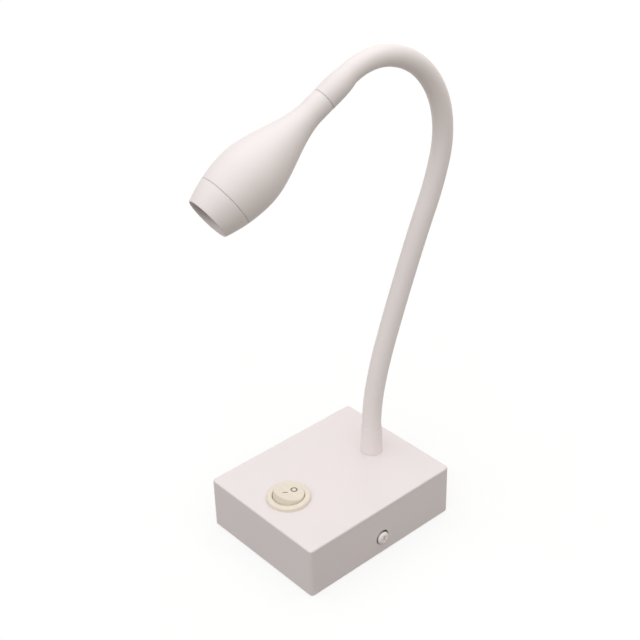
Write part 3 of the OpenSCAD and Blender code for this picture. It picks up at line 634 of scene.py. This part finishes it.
button = bmesh.new()
bmesh.ops.create_circle(button, cap_ends=True, segments=96, radius=top_radius)
bmesh.ops.bisect_plane(button, geom=button.verts[:] + button.edges[:] + button.faces[:], dist=tiny,
                       plane_co=(0, 0, 0), plane_no=(1, 0, 0))
for side in (-1, 1):
    lean = Matrix.Identity(4)
    lean[2][0] = side * math.tan(slopes[side])
    half = [vertex for vertex in button.verts if vertex.co.x * side > tiny]
    bmesh.ops.transform(button, verts=half, matrix=lean)
bmesh.ops.translate(button, vec=(0, 0, rocker_rise), verts=button.verts)
round_off(button, [edge for edge in button.edges if not edge.is_boundary], valley_radius, segments=6)
rim = [edge for edge in button.edges if edge.is_boundary]
widest = draw_down(button, rim, ball / top_radius, 0)
bottom_rim = draw_down(button, widest, math.sqrt(ball ** 2 - rocker_depth ** 2) / ball, -rocker_depth)
round_off(button, rim, rim_radius, segments=4)

# %% Add the rocker's stem and pins
stem_radius = 2.3 * mm
stem_bore = 1.5 * mm
stem_end = -7.2 * mm
pin_radius = 0.9 * mm
pin_reach = 9.9 * mm
pin_length = 1.8 * mm

before = set(button.verts)
turned([(stem_radius, -rocker_depth), (stem_radius, stem_end), (stem_bore, stem_end), (stem_bore, 0),
        (0, 0)], {}, closed=False, steps=32, bm=button)
stem = [vertex for vertex in button.verts if vertex not in before]
bmesh.ops.remove_doubles(button, verts=stem, dist=tiny)
stem_rim = [edge for edge in flat_edges(button, -rocker_depth)
            if all(v.co.xy.length < stem_radius + tiny for v in edge.verts)]
bmesh.ops.triangle_fill(button, use_beauty=True, edges=bottom_rim + stem_rim, normal=(0, 0, -1))
for side in (-1, 1):
    stand = Matrix.Translation((0, side * (pin_reach - pin_length / 2), 0))
    bmesh.ops.create_cone(button, cap_ends=True, segments=24, radius1=pin_radius, radius2=pin_radius,
                          depth=pin_length, matrix=stand @ Matrix.Rotation(math.pi / 2, 4, "X"))
rocker_stand = Matrix.Translation(switch_at) @ switch_turn @ Matrix.Rotation(rocker_tilt, 4, "Y")
bmesh.ops.transform(button, verts=button.verts, matrix=rocker_stand)
piece("rocker_button", button, "rocker", "rocker")

# %% [markdown]
# ### Marks on the rocker
# A dash marks the raised half and a ring the half that is pressed, as on any rocker.
# They are hot-stamped in brown-grey, a few hundredths of a millimetre proud, so they
# are thin solids that lie on the two slopes.

# %% Stamp the marks
mark_thick = 0.06 * mm
mark_sink = 0.02 * mm
ring_stroke = 0.75 * mm
dash_stroke = 0.65 * mm
ring_radius = 1.55 * mm
dash_half = 1.6 * mm
dash_slant = math.radians(-10)
dash_at = (-1.95 * mm, 0.9 * mm)
ring_at = (3.75 * mm, 0.3 * mm)
finishes["mark_ink"] = finish("mark_ink", ((0.16, 0.13, 0.10), (0.22, 0.18, 0.14)), patch=0.8 * mm,
                              grain=0.15 * mm, depth=0.004 * mm, rough=(0.5, 0.65))


def on_slope(place):
    """Stand on the rocker's sloping half, at a place along and across it."""
    side = 1 if place[0] > 0 else -1
    slope = Matrix.Rotation(-side * slopes[side], 4, "Y")
    return (rocker_stand @ Matrix.Translation((0, 0, rocker_rise)) @ slope
            @ Matrix.Translation((*place, -mark_sink)))


ring_inner = ring_radius - ring_stroke / 2
ring_outer = ring_radius + ring_stroke / 2
ring = turned([(ring_inner, 0), (ring_outer, 0), (ring_outer, mark_thick), (ring_inner, mark_thick)],
              {}, steps=48)
bmesh.ops.transform(ring, verts=ring.verts, matrix=on_slope(ring_at))
piece("mark_off", ring, "rocker", "rocker", "mark_ink")

dash = bmesh.new()
bmesh.ops.create_cube(dash, size=1)
bmesh.ops.scale(dash, vec=(2 * dash_half, dash_stroke, mark_thick), verts=dash.verts)
bmesh.ops.translate(dash, vec=(0, 0, mark_thick / 2), verts=dash.verts)
ends = [edge for edge in dash.edges if abs(edge.verts[0].co.z - edge.verts[1].co.z) > mark_thick / 2]
round_off(dash, ends, dash_stroke / 4, segments=3)
slant = Matrix.Rotation(dash_slant, 4, "Z")
bmesh.ops.transform(dash, verts=dash.verts, matrix=on_slope(dash_at) @ slant)
piece("mark_on", dash, "rocker", "rocker", "mark_ink")

# %% [markdown]
# ## The line of the arm
# The arm is ten equal arcs in one upright plane, joined at the nine joints of the frame.
# The axis of a bending joint is square to that plane. Where an arc starts in a known
# direction, the chord to its end tells its turn: an arc leaves its chord by half its
# turn at either end. So the rest shape follows from the joints, all but the last turn,
# which no joint follows and which is given.

# %% Follow the joints
bend_axis = Vector(joints["arm_bend_1"]["axis"])
outward = bend_axis.cross(front)
arm_turn = Matrix.Rotation(math.atan2(outward.y, outward.x), 4, "Z")


def along(angle):
    """Direction in the arm's plane at this angle from the vertical."""
    return math.sin(angle) * outward + math.cos(angle) * front


def across_arm(place, heading):
    """Stand at a place with Z along the arm."""
    return Matrix.Translation(place) @ arm_turn @ Matrix.Rotation(heading, 4, "Y")


arm_joints = [Vector(joint["pos_m"]) for joint in frame["joints"] if joint["name"].startswith("arm_")]
collar_over = 1.5 * mm
last_turn = math.radians(-45)
foot = Vector((arm_at.x, arm_at.y, collar_high.z - collar_over))
stops = [foot] + arm_joints
headings = [0.0]
turns = []
for start, end in zip(stops, stops[1:]):
    chord = end - start
    turn = 2 * (math.atan2(chord.dot(outward), chord.z) - headings[-1])
    turns.append(turn)
    headings.append(headings[-1] + turn)
turns.append(last_turn)
headings.append(headings[-1] + last_turn)
first_chord = (stops[1] - stops[0]).length
stretch = first_chord * (turns[0] / 2) / math.sin(turns[0] / 2)


def arm_point(number, share):
    """Place on arc number, at a share of its length."""
    turn = turns[number] * share
    chord = 2 * stretch / turns[number] * math.sin(turn / 2)
    return stops[number] + chord * along(headings[number] + turn / 2)


last_arc = len(turns) - 1
stops.append(arm_point(last_arc, 1))
print("turns of the arcs:", [round(math.degrees(turn), 1) for turn in turns])

# %% [markdown]
# ## Ferrules
# A painted ferrule grips each end of the sleeve and narrows towards it, so that the
# sleeve seems to grow out of it. The one at the base stands on the cover, and the one
# at the head runs into the neck with a fine seam.

# %% Turn the ferrules
sleeve_fit = 5.3 * mm
lip = 5.4 * mm
narrowing = 5 * mm
foot_edge = 0.3 * mm
shoulder_round = 2.5 * mm
base_collar_radius = 5.9 * mm
head_collar_radius = 6.2 * mm
nipple_hole = 4.05 * mm
collar_length = 15.5 * mm
grip = 7.5 * mm


def ferrule(radius, length, bore, socket):
    """A ferrule that stands on z = 0 and has a socket for the sleeve in its narrow end."""
    return turned([(bore, 0), (radius, 0), (radius, length - narrowing), (lip, length), (sleeve_fit, length),
                   (sleeve_fit, length - socket), (bore, length - socket)],
                  {1: foot_edge, 2: shoulder_round}, steps=72)


base_collar = ferrule(base_collar_radius, collar_high.z - collar_low.z, arm_hole, grip + collar_over)
bmesh.ops.translate(base_collar, vec=(arm_at.x, arm_at.y, collar_low.z), verts=base_collar.verts)
piece("base_collar", base_collar, "base_ferrule", "base")

seam = stops[-1] + collar_length * along(headings[-1])
head_stand = across_arm(seam, headings[-1])
head_collar = ferrule(head_collar_radius, collar_length, nipple_hole, grip)
bmesh.ops.transform(head_collar, verts=head_collar.verts,
                    matrix=head_stand @ Matrix.Rotation(math.pi, 4, "X"))
piece("head_collar", head_collar, "head_ferrule", "head")
print("seam of the head at", [round(value / mm, 1) for value in seam], "mm")

# %% [markdown]
# ## Sleeve and lead
# The sleeve is one long soft tube over nine joints, and the lead to the lamp runs through
# it. A piece can bend over one joint only, so both are cut halfway between joints, where
# the arm stays stiff. Each piece starts as circles and is spun along its arcs. A piece
# that spans a joint rides on no body.

# %% Follow an arc
ring_step = 1.5 * mm


def rings(bm, place, heading, radii, sides):
    """Circles of these radii, square to the arm."""
    stand = across_arm(place, heading)
    vertices = []
    for radius in radii:
        vertices += bmesh.ops.create_circle(bm, segments=sides, radius=radius, matrix=stand)["verts"]
    return vertices, list({edge for vertex in vertices for edge in vertex.link_edges})


def run_on(bm, vertices, edges, number, start_share, end_share):
    """Spin circles along part of an arc and return the last ones."""
    heading = headings[number] + turns[number] * start_share
    turn = turns[number] * (end_share - start_share)
    centre = arm_point(number, start_share) + stretch / turns[number] * along(heading + math.pi / 2)
    steps = max(4, round(stretch * (end_share - start_share) / ring_step))
    made = bmesh.ops.spin(bm, geom=vertices + edges, cent=centre, axis=bend_axis, angle=turn,
                          steps=steps, use_duplicate=False)["geom_last"]
    return only(bmesh.types.BMVert, made), only(bmesh.types.BMEdge, made)


def run_straight(bm, edges, way):
    """Draw circles out straight and return the last ones."""
    vertices, edges = draw_out(bm, edges)
    bmesh.ops.translate(bm, vec=way, verts=vertices)
    return vertices, edges


def close(bm, edges, radii):
    """Join the two circles at the end of a hollow tube, or fill the one of a solid lead."""
    if len(radii) > 1:
        bmesh.ops.bridge_loops(bm, edges=edges)
    else:
        bmesh.ops.edgeloop_fill(bm, edges=edges)


# %% Lay the sleeve and the lead
bodies = ["base"] + [joint["child"] for joint in frame["joints"] if joint["name"].startswith("arm_")]


def soft_tube(name, node, radii, sides, root, tip):
    """A tube over all the arcs, with straight ends of these lengths, cut for bending."""
    for number in range(len(turns) + 1):
        tube = bmesh.new()
        if number == 0:
            loops = rings(tube, foot - root * along(0), 0, radii, sides)
            first_edges = loops[1]
            loops = run_straight(tube, loops[1], root * along(0))
            loops = run_on(tube, *loops, 0, 0, 0.5)
        else:
            heading = headings[number - 1] + turns[number - 1] / 2
            loops = rings(tube, arm_point(number - 1, 0.5), heading, radii, sides)
            first_edges = loops[1]
            loops = run_on(tube, *loops, number - 1, 0.5, 1)
            if number <= last_arc:
                loops = run_on(tube, *loops, number, 0, 0.5)
            else:
                loops = run_straight(tube, loops[1], tip * along(headings[-1]))
        close(tube, first_edges, radii)
        close(tube, loops[1], radii)
        bends = 0 < number <= last_arc
        part = piece(f"{name}_{number:02d}", tube, node, None if bends else bodies[min(number, last_arc)])
        if bends:
            ends = (arm_point(number - 1, 0.5), arm_point(number, 0.5))
            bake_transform(part)


sleeve_radius = 5.25 * mm
sleeve_bore = 4.3 * mm
sleeve_sides = 48
soft_tube("sleeve", "arm_sleeve", (sleeve_radius, sleeve_bore), sleeve_sides, grip, grip)

lead_radius = 1.7 * mm
lead_sides = 16
lead_end_gap = 2 * mm
lead_tip = collar_length - lead_end_gap
lead_root = foot.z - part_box("arm_lead")[0].z
soft_tube("lead", "arm_lead", (lead_radius,), lead_sides, lead_root, lead_tip)

# %% [markdown]
# ## Head
# The head is turned from aluminium: a slim neck that swells into a belly, then a blunt
# nose cut off by the mouth. A separate bezel screws into the front and leaves a fine
# seam round the nose. Both follow one formula for the radius, so they meet flush.

# %% Describe the head's curve
neck_radius = 6.1 * mm
belly_radius = 15.95 * mm
mouth_radius = 11.35 * mm
head_length = 77 * mm
neck_length = 7.5 * mm
belly_at = 51.5 * mm
seam_at = 65.4 * mm


def head_radius_at(place):
    """Outer radius of the head at a distance from its neck."""
    if place <= neck_length:
        return neck_radius
    if place <= belly_at:
        rise = (place - neck_length) / (belly_at - neck_length)
        return neck_radius + (belly_radius - neck_radius) * rise * rise * (3 - 2 * rise)
    fall = (place - belly_at) / (head_length - belly_at)
    return belly_radius - (belly_radius - mouth_radius) * fall ** 2


def head_curve(start, end, count):
    places = [start + (end - start) * step / count for step in range(count + 1)]
    return [(head_radius_at(place), place) for place in places]


# %% Turn the head
head_bore = 12.6 * mm
slug_at = 42.6 * mm
lead_hole = 2.5 * mm
nipple_depth = 10 * mm
seam_edge = 0.25 * mm
seam_slit = 0.15 * mm
swell_steps = 48

swell = head_curve(neck_length, seam_at, swell_steps)
hull = turned([(neck_radius, seam_slit), *swell, (head_bore, seam_at), (head_bore, slug_at),
               (lead_hole, slug_at), (lead_hole, nipple_depth), (nipple_hole, nipple_depth),
               (nipple_hole, seam_slit)],
              {0: seam_edge, len(swell): seam_edge})
bmesh.ops.transform(hull, verts=hull.verts, matrix=head_stand)
piece("head_hull", hull, "head_shell", "head")

# %% Turn the front bezel
mouth_bore = 10.7 * mm
throat = 9.2 * mm
lens_seat = 10.05 * mm
lens_front = 60.15 * mm
spigot = 12.55 * mm
spigot_at = 59.4 * mm
groove = 11.15 * mm
groove_ends = (63.7 * mm, 65.1 * mm)
rim_edge = 0.15 * mm
nose_steps = 20

nose = head_curve(seam_at + seam_slit, head_length, nose_steps)
bezel = turned([*nose, (mouth_bore, head_length), (throat, lens_front), (lens_seat, lens_front),
                (lens_seat, spigot_at), (spigot, spigot_at), (spigot, groove_ends[0]),
                (groove, groove_ends[0]), (groove, groove_ends[1]), (spigot, groove_ends[1]),
                (spigot, seam_at + seam_slit)],
               {0: seam_edge, len(nose) - 1: rim_edge, len(nose): rim_edge})
bmesh.ops.transform(bezel, verts=bezel.verts, matrix=head_stand)
bezel_piece = piece("mouth_bezel", bezel, "front_bezel", "head")

# %% [markdown]
# ### Painted shade inside the mouth
# The bezel's paint is darkened inside the mouth as painted shade, which grows behind the
# rim and is deepest on the upper side of the wall. The finish measures how deep a point
# lies behind the rim and how far it is towards the shaded side. Its distance from the
# head's axis leaves out the outside.

# %% Paint shade into the mouth
shade_fade_depth = 5 * mm
inside_radius = 11 * mm
# The dark tone of the painted shade in the mouth.
mouth_shadow_tone = (0.16, 0.14, 0.14)
shade_turn = math.radians(40)
shade_offset = 0.5
head_axis = along(headings[-1])
mouth_middle = seam + head_length * head_axis
head_top = along(headings[-1] + math.pi / 2)
shade_direction = math.cos(shade_turn) * head_top + math.sin(shade_turn) * bend_axis


# Painted shade: a mask for the dark tone in the mouth.
def painted_mouth_shade(start, place):
    """0 on the outside and at the rim, 1 where the painted shade in the mouth is full."""
    away = start.node("VectorMath", {"operation": "SUBTRACT"}, {0: place, 1: mouth_middle})

    def dot(other):
        return start.node("VectorMath", {"operation": "DOT_PRODUCT"}, {0: away, 1: other}, "Value")

    def clamped(share):
        return start.math("MINIMUM", start.math("MAXIMUM", share, 0.0), 1.0)

    depth = dot(-head_axis)
    inside = start.math("LESS_THAN", dot(away) - depth * depth, inside_radius ** 2)
    deep = clamped(depth * (1 / shade_fade_depth))
    return inside * deep * clamped(shade_offset + dot(shade_direction) * (1 / mouth_bore))


# The bezel's paint, with the painted shade mixed into its mouth.
shaded_bezel_paint = finish("shaded_bezel_paint", (head_warm, head_cool), painted_shade=(mouth_shadow_tone, painted_mouth_shade), **paint_skin)
bezel_piece.data.materials[0] = shaded_bezel_paint
# The depth behind the rim where the painted shade is full.
print("the coat in the mouth runs out", shade_fade_depth / mm, "mm behind the rim")

# %% [markdown]
# ### Lens
# The lens gathers the light of the chip. It has a narrow foot over the chip, a flank that
# bows outwards and a shallow dome in front, and is turned like the rest.

# %% Mould the lens
lens_radius = 10 * mm
lens_edge = 1.5 * mm
lens_back = 4 * mm
lens_foot = 49.9 * mm
dome = 0.6 * mm
dome_radius = 8.5 * mm
flank_bow = 1.4
flank_shares = [step / 8 for step in range(9)]
dome_shares = [step / 6 for step in range(6, -1, -1)]

flank = [(lens_back + (lens_radius - lens_back) * share,
          lens_foot + (lens_front - lens_edge - lens_foot) * share ** flank_bow) for share in flank_shares]
face = [(dome_radius * share, lens_front + dome * (1 - share ** 2)) for share in dome_shares]
optic = turned([(0, lens_foot), *flank, (lens_radius, lens_front), *face], {}, closed=False)
bmesh.ops.transform(optic, verts=optic.verts, matrix=head_stand)
piece("lens_optic", optic, "lens", "head")

# %% [markdown]
# ## The solids that stay
# The wall plate, the wiring in the base, the driver and the works of the switch keep
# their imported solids, which already have their true shape. They get the finish of their
# slot.

# %% Finish the solids
for node, thing in frame["nodes"].items():
    for place in thing.material_slots:
        place.material = finishes[slot_of[node]]
print("solids with a finish:", len(frame["nodes"]))

# %% Set the colour view
scene.view_settings.view_transform = "Standard"
